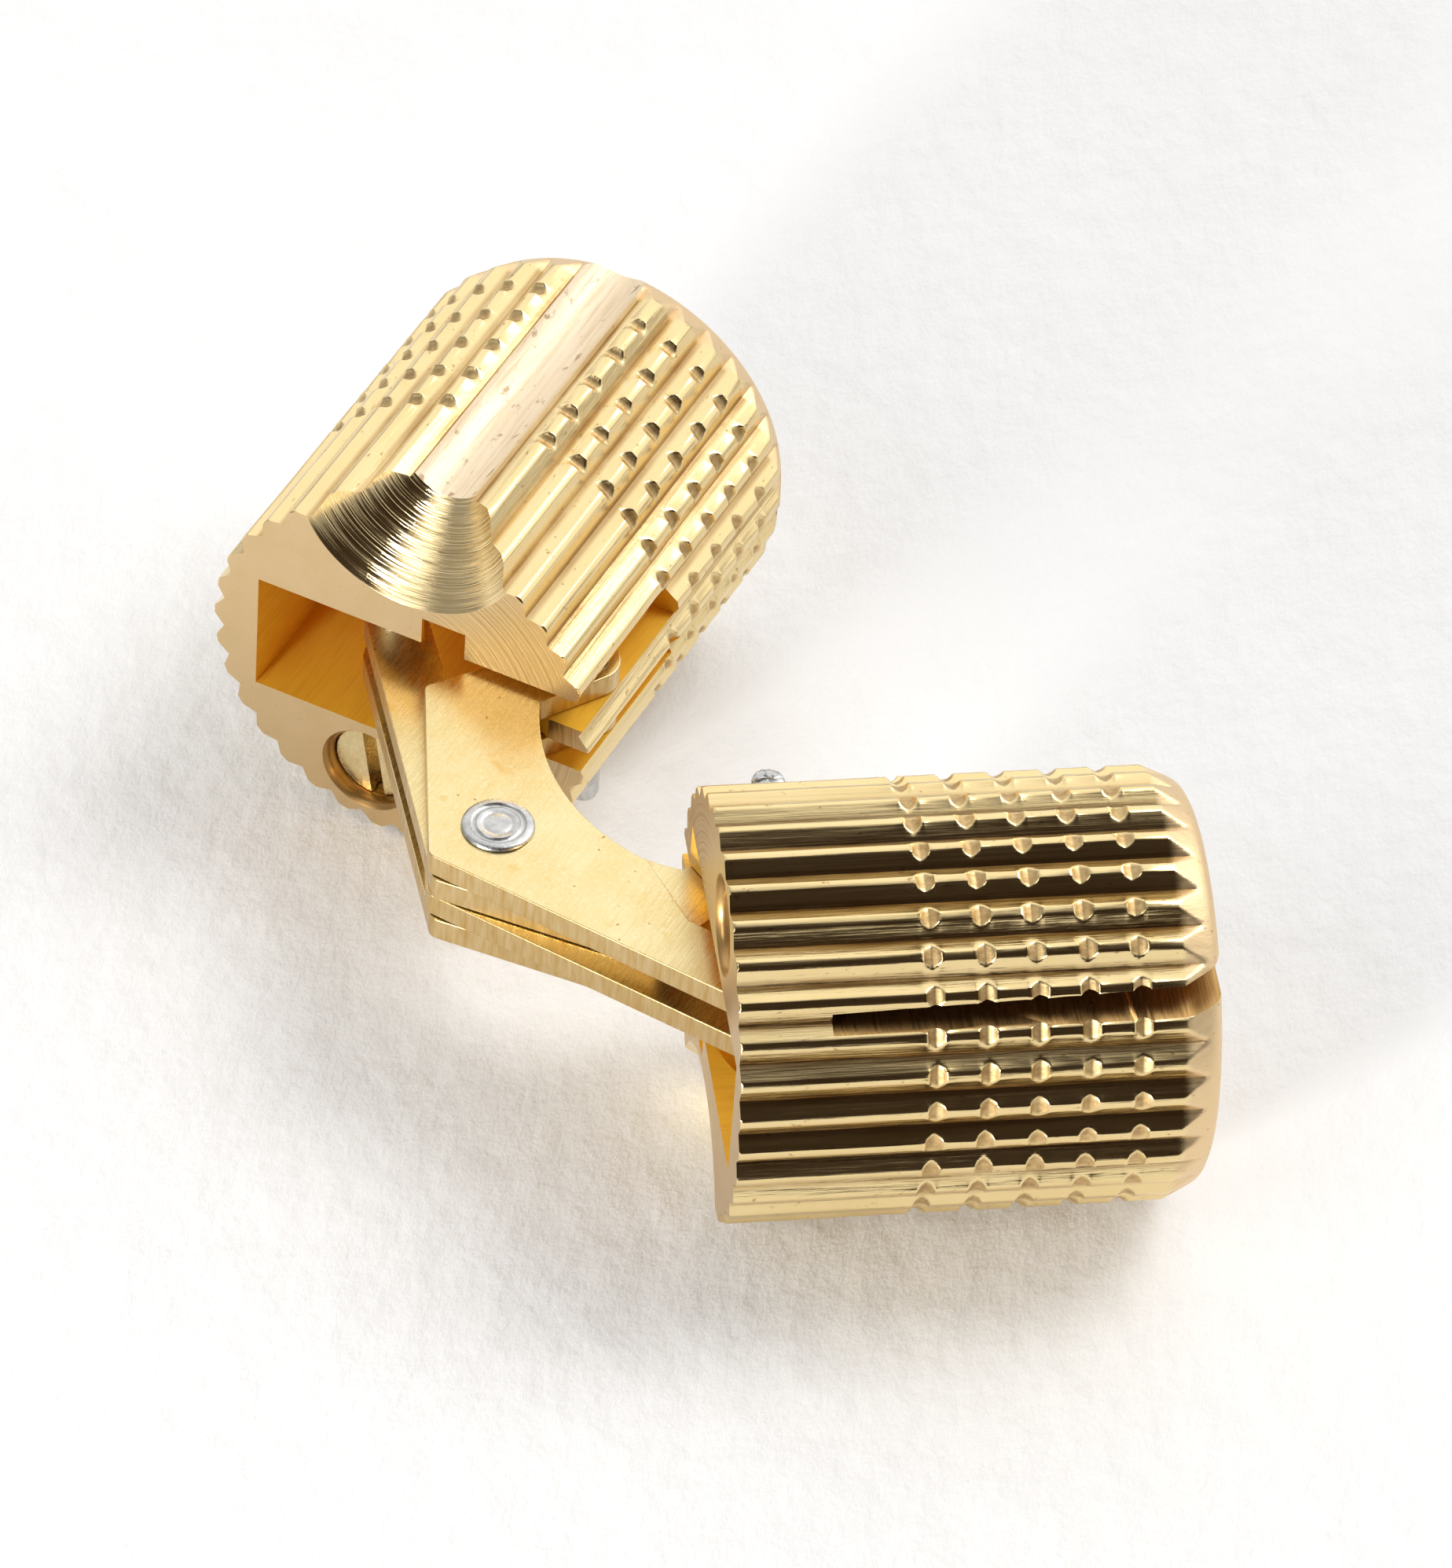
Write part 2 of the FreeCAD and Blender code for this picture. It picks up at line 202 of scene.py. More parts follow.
class StageSettings(bpy.types.PropertyGroup):
    """Camera and light."""

    lens: bpy.props.FloatProperty(
        name="Focal Length", description="Focal length on a 36 mm wide film gate, in mm",
        default=FOCAL_PIXELS / PICTURE_WIDTH * FILM_WIDTH)
    distance: mm_length("Camera Distance", "From the camera to the point it looks at", 302.552)
    azimuth: degrees("Camera Azimuth", "Turn of the camera round the hinge", 23.5764)
    elevation: degrees("Camera Elevation", "Height of the camera above the horizon", 43.8375)
    roll: degrees("Camera Roll", "Tilt of the camera about its own line of sight", 4.5146)
    sky: bpy.props.FloatProperty(
        name="Sky", description="Level of the light from the far side of the room", default=1.0)
    lamp: watts("Lamp", "Power of the soft lamp", 1.4)
    front_lamp: watts("Front Lamp", "Power of the soft lamp in front on the left", 0.32)
    pocket_lamp: watts("Pocket Lamp", "Power of the low lamp in front", 1.45)


# Frame of the two barrels: the second is the first turned over about the fold line


FOLD = math.radians(124.15)
RIVET = np.array((6.78855, -6.10684, 0.0)) * MM
PIVOT = np.array((5.75, 2.4, 0.0)) * MM
LINK_LENGTH = 8.57 * MM
GUIDE_LENGTH = 11.2 * MM
GUIDE_CLOSED = math.radians(91.5)
TURN_SHARE = 0.65


def turned_over(points):
    """Half a turn about the fold line: p' = C + (2 d d^T - I)(p - C), d along half the fold angle."""
    d = np.array((math.cos(FOLD / 2), math.sin(FOLD / 2), 0.0))
    return RIVET + (points - RIVET) @ (2 * np.outer(d, d) - np.eye(3))


def guide_path(count):
    """Guide pin's path in barrel A over the whole fold: rivet on a circle round the pivot, plus link."""
    fold = np.linspace(0, math.pi, count)
    lean = math.asin(PIVOT[1] / LINK_LENGTH)
    swing = math.pi + lean + TURN_SHARE * fold
    reach = GUIDE_CLOSED + (1 - TURN_SHARE) * fold
    x = PIVOT[0] + LINK_LENGTH * np.cos(swing) + GUIDE_LENGTH * np.cos(reach)
    y = PIVOT[1] + LINK_LENGTH * np.sin(swing) + GUIDE_LENGTH * np.sin(reach)
    return np.stack((x, y), axis=1)


# Mesh helpers


def grid_faces(rows, columns, closed):
    """Quads of a rows x columns grid, wrapping round the columns when closed."""
    i, j = np.meshgrid(np.arange(rows - 1), np.arange(columns if closed else columns - 1), indexing="ij")
    k = (j + 1) % columns
    near, far = i * columns, (i + 1) * columns
    quads = np.stack((near + j, near + k, far + k, far + j), axis=-1)
    return quads.reshape(-1, 4)


def tube_faces(rows, columns):
    """Faces of a closed tube grid with one flat cap at each end."""
    quads = grid_faces(rows, columns, True)
    first = list(range(columns))[::-1]
    last = list(range((rows - 1) * columns, rows * columns))
    return quads.tolist() + [first, last]


def new_object(name, points, faces, materials, indices=None):
    """Mesh object at the origin from an array of points and a list of faces, normals facing outwards."""
    mesh = bpy.data.meshes.new(name)
    mesh.from_pydata(np.asarray(points).reshape(-1, 3).tolist(), [], faces)
    for material in materials:
        mesh.materials.append(material)
    if indices is not None:
        mesh.polygons.foreach_set("material_index", np.asarray(indices, dtype=np.int32))
    bm = bmesh.new()
    bm.from_mesh(mesh)
    bmesh.ops.recalc_face_normals(bm, faces=bm.faces)
    bm.to_mesh(mesh)
    bm.free()
    obj = bpy.data.objects.new(name, mesh)
    bpy.context.scene.collection.objects.link(obj)
    return obj


def smooth(mesh, angle):
    """Smooth shading with edges sharper than an angle kept crisp."""
    mesh.polygons.foreach_set("use_smooth", np.ones(len(mesh.polygons), dtype=bool))
    mesh.set_sharp_from_angle(angle=math.radians(angle))


def face_rises(mesh):
    """Upward part of each face's normal."""
    normals = np.empty(3 * len(mesh.polygons), dtype=np.float32)
    mesh.polygons.foreach_get("normal", normals)
    return normals[2::3]


def mesh_points(mesh):
    """Vertex positions as an array of rows."""
    co = np.empty(len(mesh.vertices) * 3, dtype=np.float32)
    mesh.vertices.foreach_get("co", co)
    return co.reshape(-1, 3).astype(float)


def put_points(mesh, points):
    """Writes an array of rows to the vertex positions."""
    mesh.vertices.foreach_set("co", np.asarray(points, dtype=np.float32).ravel())
    mesh.update()


def keep_barrel_coordinates(mesh):
    """Stores each vertex's place in its barrel, so the twin shares the pattern."""
    co = np.asarray(mesh_points(mesh), dtype=np.float32)
    place = mesh.attributes.new("barrel_place", "FLOAT_VECTOR", "POINT")
    place.data.foreach_set("vector", co.ravel())


def twin_of(obj, name):
    """Copy of a barrel A piece on barrel B's side."""
    mesh = obj.data.copy()
    mesh.name = name
    put_points(mesh, turned_over(mesh_points(mesh)))
    twin = bpy.data.objects.new(name, mesh)
    bpy.context.scene.collection.objects.link(twin)
    return twin


def with_modifiers(obj):
    """Mesh of a piece with its modifiers applied."""
    bpy.context.view_layer.update()
    depsgraph = bpy.context.evaluated_depsgraph_get()
    return bpy.data.meshes.new_from_object(obj.evaluated_get(depsgraph))


def add_boolean(obj, operation, other):
    """Exact Boolean with one other closed piece, whose cut faces keep their finish."""
    step = obj.modifiers.new("cut", "BOOLEAN")
    step.operation = operation
    step.object = other
    step.solver = "EXACT"
    step.material_mode = "TRANSFER"


def swap_mesh(obj, mesh):
    """Gives a piece a new mesh and drops the old one with its modifiers."""
    old = obj.data
    obj.modifiers.clear()
    obj.data = mesh
    bpy.data.meshes.remove(old)


def cut_away(obj, cutters):
    """Joins the closed cutters into one and takes it out of a piece."""
    tool = cutters[0]
    for cutter in cutters[1:]:
        add_boolean(tool, "UNION", cutter)
    swap_mesh(tool, with_modifiers(tool))
    add_boolean(obj, "DIFFERENCE", tool)
    mesh = with_modifiers(obj)
    if len(mesh.polygons) < len(obj.data.polygons) // 4:
        raise RuntimeError("the cuts in %s failed" % obj.name)
    swap_mesh(obj, mesh)
    for cutter in cutters:
        bpy.data.objects.remove(cutter)


def prism(name, outline, low, high, material):
    """Outline of (x, y) pairs swept upwards from low to high, both ends closed."""
    rows = [np.column_stack((outline, np.full(len(outline), level))) for level in (low, high)]
    return new_object(name, np.stack(rows), tube_faces(2, len(outline)), [material])


def lathe_points(profile, columns, axis):
    """Profile of (radius, height) rows turned about an axis: p = (r cos a, r sin a, h) in its order."""
    profile = np.asarray(profile, dtype=float)
    a = np.linspace(0, 2 * math.pi, columns, endpoint=False)
    ring = np.stack((np.cos(a), np.sin(a)), axis=-1)
    flat = profile[:, None, 0:1] * ring[None]
    height = np.broadcast_to(profile[:, None, 1:2], flat.shape[:2] + (1,))
    if axis == "y":
        return np.concatenate((flat[..., 0:1], height, flat[..., 1:2]), axis=-1)
    return np.concatenate((flat, height), axis=-1)


# Materials


def link_nodes(material, output, target, socket):
    """Joins two sockets of a material."""
    material.node_tree.links.new(output, target.inputs[socket])


def add_node(material, kind, **settings):
    """New node with properties set by name."""
    node = material.node_tree.nodes.new(kind)
    for key, value in settings.items():
        setattr(node, key, value)
    return node


def set_inputs(node, **values):
    """Sets a node's input values, with _ for a space in a socket's name."""
    for key, value in values.items():
        node.inputs[key.replace("_", " ")].default_value = value
    return node


def place_source(material, attribute):
    """Coordinates of a pattern: the barrel's own place, or the object's."""
    if attribute:
        return add_node(material, "ShaderNodeAttribute", attribute_name=attribute).outputs["Vector"]
    return add_node(material, "ShaderNodeTexCoord").outputs["Object"]


def stretched_noise(material, source, scale, turn=0.0, detail=3.0, roughness=0.55):
    """Noise in coordinates scaled by (x, y, z) per metre, for lines along the least scaled axis."""
    mapping = add_node(material, "ShaderNodeMapping")
    mapping.inputs["Scale"].default_value = scale
    mapping.inputs["Rotation"].default_value = (0.0, 0.0, turn)
    link_nodes(material, source, mapping, "Vector")
    noise = add_node(material, "ShaderNodeTexNoise")
    set_inputs(noise, Scale=1.0, Detail=detail, Roughness=roughness)
    link_nodes(material, mapping.outputs["Vector"], noise, "Vector")
    return noise.outputs["Fac"]


def map_range(material, value, low, high, to_low, to_high, blend="LINEAR"):
    """A value carried from one range to another, held at the ends."""
    node = add_node(material, "ShaderNodeMapRange", interpolation_type=blend)
    node.inputs["From Min"].default_value = low
    node.inputs["From Max"].default_value = high
    node.inputs["To Min"].default_value = to_low
    node.inputs["To Max"].default_value = to_high
    link_nodes(material, value, node, "Value")
    return node.outputs["Result"]


def mix_colour(material, factor, first, second):
    """Mix of two colours, each a plain colour or a socket."""
    node = add_node(material, "ShaderNodeMix", data_type="RGBA")
    link_nodes(material, factor, node, 0)
    for index, colour in ((6, first), (7, second)):
        if isinstance(colour, bpy.types.NodeSocket):
            link_nodes(material, colour, node, index)
        else:
            node.inputs[index].default_value = tuple(colour) + (1.0,)
    return node.outputs[2]


def tint(material, value, low, high, share, first, second):
    """Second colour laid over the first where a value rises from low to high, up to a share."""
    return mix_colour(material, map_range(material, value, low, high, 0.0, share), first, second)


def combine(material, operation, first, second):
    """One sum of two values, the second a number or a socket."""
    node = add_node(material, "ShaderNodeMath", operation=operation)
    link_nodes(material, first, node, 0)
    if isinstance(second, bpy.types.NodeSocket):
        link_nodes(material, second, node, 1)
    else:
        node.inputs[1].default_value = second
    return node.outputs[0]


def bump(material, height, distance, strength=1.0, after=None):
    """Bump from a height, laid over another bump if one is given."""
    node = add_node(material, "ShaderNodeBump")
    set_inputs(node, Strength=strength, Distance=distance)
    link_nodes(material, height, node, "Height")
    if after is not None:
        link_nodes(material, after, node, "Normal")
    return node.outputs["Normal"]


def metal(name, roughness, metallic=1.0):
    """New metal, with the roughness it has before its pattern is linked."""
    material = bpy.data.materials.new(name)
    material.use_nodes = True
    shader = material.node_tree.nodes["Principled BSDF"]
    set_inputs(shader, Metallic=metallic, Roughness=roughness)
    return material


def link_finish(material, base, rough, normal):
    """Links a metal's colour, roughness and bump to its shader."""
    shader = material.node_tree.nodes["Principled BSDF"]
    link_nodes(material, base, shader, "Base Color")
    link_nodes(material, rough, shader, "Roughness")
    link_nodes(material, normal, shader, "Normal")
    return material


def ridge_brass(colours):
    """Polished drawn brass: fine lines along the barrel, a few specks, painted shade along the floors of
    the ridge valleys, and brown in the pressed notches, which are tarnished and darkened with painted
    shade.
    """
    material = metal("ridge_brass", 0.14)
    source = place_source(material, "barrel_place")
    lines = stretched_noise(material, source, (16000, 250, 16000), detail=4.0)
    cloud = stretched_noise(material, source, (700, 300, 700), detail=5.0)
    speck = stretched_noise(material, source, (5200, 2600, 5200), detail=2.0)
    wear = add_node(material, "ShaderNodeAttribute", attribute_name="turned_end").outputs["Fac"]
    pit = add_node(material, "ShaderNodeAttribute", attribute_name="notch_pit").outputs["Fac"]
    valley = add_node(material, "ShaderNodeAttribute", attribute_name="valley_shade").outputs["Fac"]
    tint = map_range(material, cloud, 0.35, 0.75, 0.0, 0.4)
    base = mix_colour(material, tint, colours.brass, (0.74, 0.55, 0.23))
    # Painted shade: the floors of the ridge valleys darkened towards dark brown
    painted_valley_shade = combine(material, "MULTIPLY", valley, map_range(material, cloud, 0.3, 0.7, 0.3, 0.8))
    base = mix_colour(material, painted_valley_shade, base, colours.tarnish)
    base = mix_colour(material, combine(material, "MULTIPLY", wear, 0.85), base, colours.worn_brass)
    # Dark specks, and in the notch pits a tarnished brown deepened with painted shade
    spots = map_range(material, speck, 0.67, 0.75, 0.0, 0.6)
    specks_and_pit_shade = combine(material, "MAXIMUM", spots, combine(material, "MULTIPLY", pit, speck))
    base = mix_colour(material, specks_and_pit_shade, base, colours.tarnish)
    fine = map_range(material, lines, 0.3, 0.7, 0.13, 0.23)
    torn = combine(material, "MAXIMUM", combine(material, "MULTIPLY", pit, 1.4), wear)
    rough = combine(material, "ADD", fine, combine(material, "MULTIPLY", torn, 0.25))
    waves = stretched_noise(material, source, (2600, 160, 2600), detail=3.0)
    normal = bump(material, waves, 0.00004, 0.6)
    normal = bump(material, lines, 0.00001, 0.5, normal)
    return link_finish(material, base, rough, bump(material, speck, 0.00001, 0.3, normal))


def face_brass():
    """Sawn and turned end face: fine arcs about the barrel's axis, matte and pinkish."""
    material = metal("face_brass", 0.4)
    source = place_source(material, "barrel_place")
    flat = add_node(material, "ShaderNodeVectorMath", operation="MULTIPLY")
    flat.inputs[1].default_value = (1.0, 0.0, 1.0)
    link_nodes(material, source, flat, 0)
    side = add_node(material, "ShaderNodeSeparateXYZ")
    link_nodes(material, source, side, 0)
    turned = map_range(material, side.outputs["X"], 0.0, 3.0 * MM, 0.15, 1.0)
    radius = add_node(material, "ShaderNodeVectorMath", operation="LENGTH")
    link_nodes(material, flat.outputs[0], radius, 0)
    arcs = add_node(material, "ShaderNodeTexNoise", noise_dimensions="1D")
    set_inputs(arcs, Scale=7000.0, Detail=4.0, Roughness=0.6)
    link_nodes(material, radius.outputs["Value"], arcs, "W")
    cloud = stretched_noise(material, source, (600, 600, 600), detail=5.0)
    base = tint(material, cloud, 0.3, 0.75, 0.8, (0.66, 0.48, 0.27), (0.59, 0.43, 0.21))
    marks = combine(material, "MULTIPLY", arcs.outputs["Fac"], turned)
    base = tint(material, marks, 0.48, 0.7, 0.6, base, (0.42, 0.28, 0.12))
    speck = stretched_noise(material, source, (5000, 5000, 5000), detail=3.0)
    base = tint(material, speck, 0.6, 0.75, 0.35, base, (0.46, 0.30, 0.14))
    rough = map_range(material, marks, 0.3, 0.7, 0.36, 0.46)
    normal = bump(material, marks, 0.00003, 0.6)
    return link_finish(material, base, rough, bump(material, speck, 0.00001, 0.3, normal))


def pocket_brass():
    """Milled pocket: cutter lines along the barrel, rough enough to scatter light into its corners; its
    brass is raised to full brightness and deep amber, painted light standing in for the light bounced
    between the pocket's walls.
    """
    material = metal("pocket_brass", 0.4, 0.2)
    source = place_source(material, "barrel_place")
    lines = stretched_noise(material, source, (9000, 400, 9000), turn=0.25, detail=4.0)
    cloud = stretched_noise(material, source, (500, 500, 500), detail=4.0)
    # Painted light: brass raised to full, deep amber in place of the light bounced round inside the pocket
    base = tint(material, cloud, 0.3, 0.7, 0.6, (1.0, 0.62, 0.06), (0.98, 0.54, 0.03))
    base = tint(material, lines, 0.45, 0.75, 0.5, base, (0.85, 0.36, 0.02))
    rough = map_range(material, lines, 0.3, 0.7, 0.32, 0.46)
    return link_finish(material, base, rough, bump(material, lines, 0.000014, 0.4))


def channel_brass():
    """Matte wood-screw channel: lengthwise scratches, brown soiling and pits on a pale pinkish tone."""
    material = metal("channel_brass", 0.5, 0.7)
    source = place_source(material, "barrel_place")
    lines = stretched_noise(material, source, (6000, 260, 6000), detail=6.0, roughness=0.65)
    broad = stretched_noise(material, source, (1500, 120, 1500), detail=4.0, roughness=0.6)
    pits = stretched_noise(material, source, (2600, 1500, 2600), detail=4.0)
    base = tint(material, broad, 0.35, 0.65, 1.0, (0.86, 0.74, 0.56), (0.80, 0.65, 0.45))
    base = tint(material, lines, 0.48, 0.7, 0.5, base, (0.60, 0.44, 0.26))
    base = tint(material, pits, 0.61, 0.68, 0.8, base, (0.38, 0.25, 0.13))
    rough = map_range(material, lines, 0.3, 0.7, 0.42, 0.6)
    normal = bump(material, lines, 0.000025, 0.5)
    return link_finish(material, base, rough, bump(material, pits, 0.00005, 0.4, normal))


def countersink_brass():
    """Bright countersink with rings left by its cutter, about the channel's axis."""
    material = metal("countersink_brass", 0.2)
    source = place_source(material, "barrel_place")
    depth = add_node(material, "ShaderNodeSeparateXYZ")
    link_nodes(material, source, depth, 0)
    rings = add_node(material, "ShaderNodeTexNoise", noise_dimensions="1D")
    set_inputs(rings, Scale=9000.0, Detail=4.0, Roughness=0.65)
    link_nodes(material, depth.outputs["Y"], rings, "W")
    cloud = stretched_noise(material, source, (900, 900, 900), detail=4.0)
    base = tint(material, cloud, 0.35, 0.7, 0.6, (0.92, 0.74, 0.42), (0.86, 0.64, 0.30))
    rough = map_range(material, rings.outputs["Fac"], 0.3, 0.7, 0.06, 0.2)
    return link_finish(material, base, rough, bump(material, rings.outputs["Fac"], 0.00004, 0.7))


def kerf_brass():
    """Sawn slot: fine lines across the barrel, browner."""
    material = metal("kerf_brass", 0.3)
    source = place_source(material, "barrel_place")
    lines = stretched_noise(material, source, (300, 9000, 300), turn=0.12, detail=4.0)
    base = tint(material, lines, 0.35, 0.7, 1.0, (0.55, 0.34, 0.13), (0.40, 0.23, 0.08))
    rough = map_range(material, lines, 0.3, 0.7, 0.24, 0.4)
    return link_finish(material, base, rough, bump(material, lines, 0.000016, 0.5))


def plate_brass():
    """Rolled and stamped plate: fine brushing, speckle and a few stains."""
    material = metal("plate_brass", 0.32)
    source = place_source(material, None)
    brushing = stretched_noise(material, source, (14000, 900, 14000), turn=-1.2, detail=5.0, roughness=0.6)
    speck = stretched_noise(material, source, (9000, 9000, 9000), detail=3.0)
    dots = stretched_noise(material, source, (3600, 3600, 3600), detail=1.0)
    cloud = stretched_noise(material, source, (420, 420, 420), detail=4.0)
    stain = stretched_noise(material, source, (900, 1300, 900), detail=2.0)
    base = tint(material, cloud, 0.35, 0.7, 1.0, (0.83, 0.69, 0.38), (0.76, 0.60, 0.27))
    base = tint(material, speck, 0.5, 0.8, 0.6, base, (0.92, 0.82, 0.56))
    base = tint(material, brushing, 0.5, 0.75, 0.4, base, (0.76, 0.52, 0.18))
    base = tint(material, stain, 0.64, 0.72, 0.5, base, (0.72, 0.48, 0.13))
    base = tint(material, dots, 0.76, 0.79, 0.8, base, (0.36, 0.20, 0.06))
    rough = map_range(material, brushing, 0.3, 0.7, 0.2, 0.36)
    normal = bump(material, brushing, 0.000007, 0.4)
    return link_finish(material, base, rough, bump(material, speck, 0.000007, 0.3, normal))


def stamped_edge():
    """Sheared edge of a plate: darker, with tear lines through its thickness."""
    material = metal("stamped_edge", 0.38)
    source = place_source(material, None)
    tears = stretched_noise(material, source, (5000, 5000, 700), detail=4.0, roughness=0.6)
    base = tint(material, tears, 0.35, 0.7, 1.0, (0.68, 0.51, 0.26), (0.50, 0.32, 0.11))
    rough = map_range(material, tears, 0.3, 0.7, 0.3, 0.45)
    return link_finish(material, base, rough, bump(material, tears, 0.00002, 0.4))


def screw_brass():
    """Turned screw brass, a little greener and paler than the barrel."""
    material = metal("screw_brass", 0.25)
    source = place_source(material, "barrel_place")
    cloud = stretched_noise(material, source, (1500, 1500, 1500), detail=4.0)
    fine = stretched_noise(material, source, (9000, 9000, 9000), detail=3.0)
    base = tint(material, cloud, 0.35, 0.7, 1.0, (0.84, 0.72, 0.42), (0.78, 0.62, 0.32))
    rough = map_range(material, fine, 0.3, 0.7, 0.2, 0.34)
    return link_finish(material, base, rough, bump(material, fine, 0.000003, 0.2))


def pin_steel(colours):
    """Bright steel wire, scuffed where it was cut and riveted."""
    material = metal("pin_steel", 0.3)
    source = place_source(material, None)
    scuff = stretched_noise(material, source, (2600, 2600, 2600), detail=5.0, roughness=0.65)
    fine = stretched_noise(material, source, (12000, 12000, 12000), detail=3.0)
    base = tint(material, scuff, 0.35, 0.7, 1.0, colours.steel, (0.66, 0.66, 0.65))
    base = tint(material, scuff, 0.66, 0.74, 0.5, base, (0.32, 0.29, 0.26))
    rough = map_range(material, fine, 0.3, 0.7, 0.24, 0.4)
    normal = bump(material, scuff, 0.00003, 0.35)
    return link_finish(material, base, rough, bump(material, fine, 0.000006, 0.3, normal))


def paper(colours):
    """White card ground with soft fibres; seen directly or mirrored it is partly plain white."""
    material = bpy.data.materials.new("white_ground")
    material.use_nodes = True
    shader = material.node_tree.nodes["Principled BSDF"]
    set_inputs(shader, Roughness=0.9, Specular_IOR_Level=0.2)
    source = place_source(material, None)
    fibre = stretched_noise(material, source, (700, 420, 700), turn=0.9, detail=6.0, roughness=0.6)
    cloud = stretched_noise(material, source, (60, 60, 60), detail=3.0)
    cloud_level, white_share = 0.965, 0.1
    shade = tuple(cloud_level * c for c in colours.paper)
    base = tint(material, cloud, 0.35, 0.7, 1.0, colours.paper, shade)
    link_nodes(material, base, shader, "Base Color")
    link_nodes(material, bump(material, fibre, 0.0003, 0.6), shader, "Normal")
    path = add_node(material, "ShaderNodeLightPath")
    seen = combine(material, "MAXIMUM", path.outputs["Is Camera Ray"], path.outputs["Is Glossy Ray"])
    seen = combine(material, "MAXIMUM", seen, path.outputs["Is Transmission Ray"])
    white = set_inputs(add_node(material, "ShaderNodeEmission"), Strength=1.0)
    blend = add_node(material, "ShaderNodeMixShader")
    link_nodes(material, combine(material, "MULTIPLY", seen, white_share), blend, 0)
    link_nodes(material, shader.outputs[0], blend, 1)
    link_nodes(material, white.outputs[0], blend, 2)
    link_nodes(material, blend.outputs[0], material.node_tree.nodes["Material Output"], "Surface")
    return material


# Barrels

GOLDEN_TURN = 2.399
RAMP_BLEND = 0.05
FLANK_POWER = 0.9
DISH_POWER = 2.6
DEPTH_SPREAD = (0.86, 1.1)
ROW_FADE = (1.05, 0.85)
NOTCH_SHIFT = 0.035 * MM
LIP_SPREAD = (0.4, 1.2)
LIP_REACH = 0.6
WAVE_RATE = 0.9 / MM


def ridge_height(angle, sizes):
    """Fall below the ridge tops: a smooth ramp s = (d + sqrt(d^2 + e^2)) / 2 past half the top's width,
    raised to a power under 1 so that the flanks are slightly hollow."""
    half_pitch = math.pi / sizes.ridges
    across = np.abs((angle / half_pitch + 1) % 2 - 1)
    top = sizes.ridge_top / 2 / sizes.radius / half_pitch
    past = across - top
    ramp = (past + np.sqrt(past ** 2 + RAMP_BLEND ** 2)) / 2
    ramp = ramp / ((1 - top + math.hypot(1 - top, RAMP_BLEND)) / 2)
    return sizes.ridge_depth * ramp ** FLANK_POWER


def notch_floor_radius(y, ridge, sizes):
    """Radius left by the pressed notches: a round dish R - depth (1 - (2 y / mouth)^2.6) with a narrow
    slit along its middle; each notch varies a little in depth and place, and the row grows shallower
    towards the back."""
    random = np.random.default_rng(11)
    count = sizes.notches
    each = (sizes.ridges, count)
    depth = sizes.notch_depth * random.uniform(*DEPTH_SPREAD, each)
    depth = depth * np.linspace(*ROW_FADE, count)[None]
    shift = random.uniform(-NOTCH_SHIFT, NOTCH_SHIFT, each)
    centre = sizes.notch_first + sizes.notch_pitch * np.arange(count)[None] + shift
    away = np.abs(y[..., None] - centre[ridge])
    dish = depth[ridge] * (1 - (2 * away / sizes.notch_mouth) ** DISH_POWER)
    slit = sizes.slit_depth * np.clip(1.5 - away / (sizes.slit_width / 2), 0, 1)
    cut = sizes.radius - dish - slit
    lip_place = (away - sizes.notch_mouth / 2 - sizes.lip_offset) / sizes.lip_width
    lip = sizes.burr * np.exp(-lip_place ** 2) * random.uniform(*LIP_SPREAD, each)[ridge]
    return cut.min(axis=-1), lip.max(axis=-1)


def barrel_radius(angle, y, sizes):
    """Outside radius r(angle, y): ridge profile with notch lips, cut by notches and the back chamfer."""
    pitch = 2 * math.pi / sizes.ridges
    ridge = np.rint(angle / pitch).astype(int) % sizes.ridges
    fall = ridge_height(angle, sizes)
    floor, lip = notch_floor_radius(y, ridge, sizes)
    weight = np.clip(1 - fall / (LIP_REACH * sizes.ridge_depth), 0, 1)
    wave = sizes.wave * np.sin(ridge * GOLDEN_TURN + y * WAVE_RATE)
    radius = np.minimum(sizes.radius - fall + lip * weight + wave * weight, floor)
    start = sizes.length - sizes.chamfer_length
    into = np.clip((y - start) / sizes.chamfer_length, 0, 1)
    cone = sizes.radius - sizes.chamfer * into - sizes.back_round * into ** 12
    edge = sizes.radius - sizes.edge_break * np.clip(1 - y / sizes.edge_length, 0, 1)
    return np.minimum(np.minimum(radius, cone), edge)


def barrel_stations(sizes):
    """Heights of the barrel's rings: close together at the notches and the ends, wide apart elsewhere."""
    front = np.array((0, 0.03, 0.06, 0.12, 0.6, 1.5, 2.5, 3.5, 4.6, 5.4)) * MM
    near = np.linspace(-0.4, 0.4, 17) * MM
    centres = sizes.notch_first + sizes.notch_pitch * np.arange(sizes.notches)
    notches = (centres[:, None] + near[None]).ravel()
    between = centres[:-1] + sizes.notch_pitch / 2
    start = sizes.length - sizes.chamfer_length
    back = np.linspace(start, sizes.length, 13)
    stations = np.unique(np.concatenate((front, notches, between, back)))
    keep = np.concatenate(([True], np.diff(stations) > 0.008 * MM))
    return stations[keep]


def barrel_shell(name, sizes, phase, materials):
    """Closed ridged bar: p = (r cos a, y, r sin a) with r(a - phase, y), flat caps at both ends."""
    half_pitch = math.pi / sizes.ridges
    side = np.array((0.15, 0.22, 0.29, 0.36, 0.43, 0.5, 0.57, 0.66, 0.84))
    across = np.concatenate(((-1.0,), -side[::-1], (0.0,), side))
    ridge = np.arange(sizes.ridges) * 2 * half_pitch
    angles = (ridge[:, None] + across[None] * half_pitch).ravel()
    stations = barrel_stations(sizes)
    y, a = np.meshgrid(stations, angles, indexing="ij")
    r = barrel_radius(a, y, sizes)
    points = np.stack((r * np.cos(a + phase), y, r * np.sin(a + phase)), axis=-1)
    faces = tube_faces(len(stations), len(angles))
    indices = np.zeros(len(faces), dtype=np.int32)
    indices[-2:] = 1
    return new_object(name, points, faces, materials, indices)


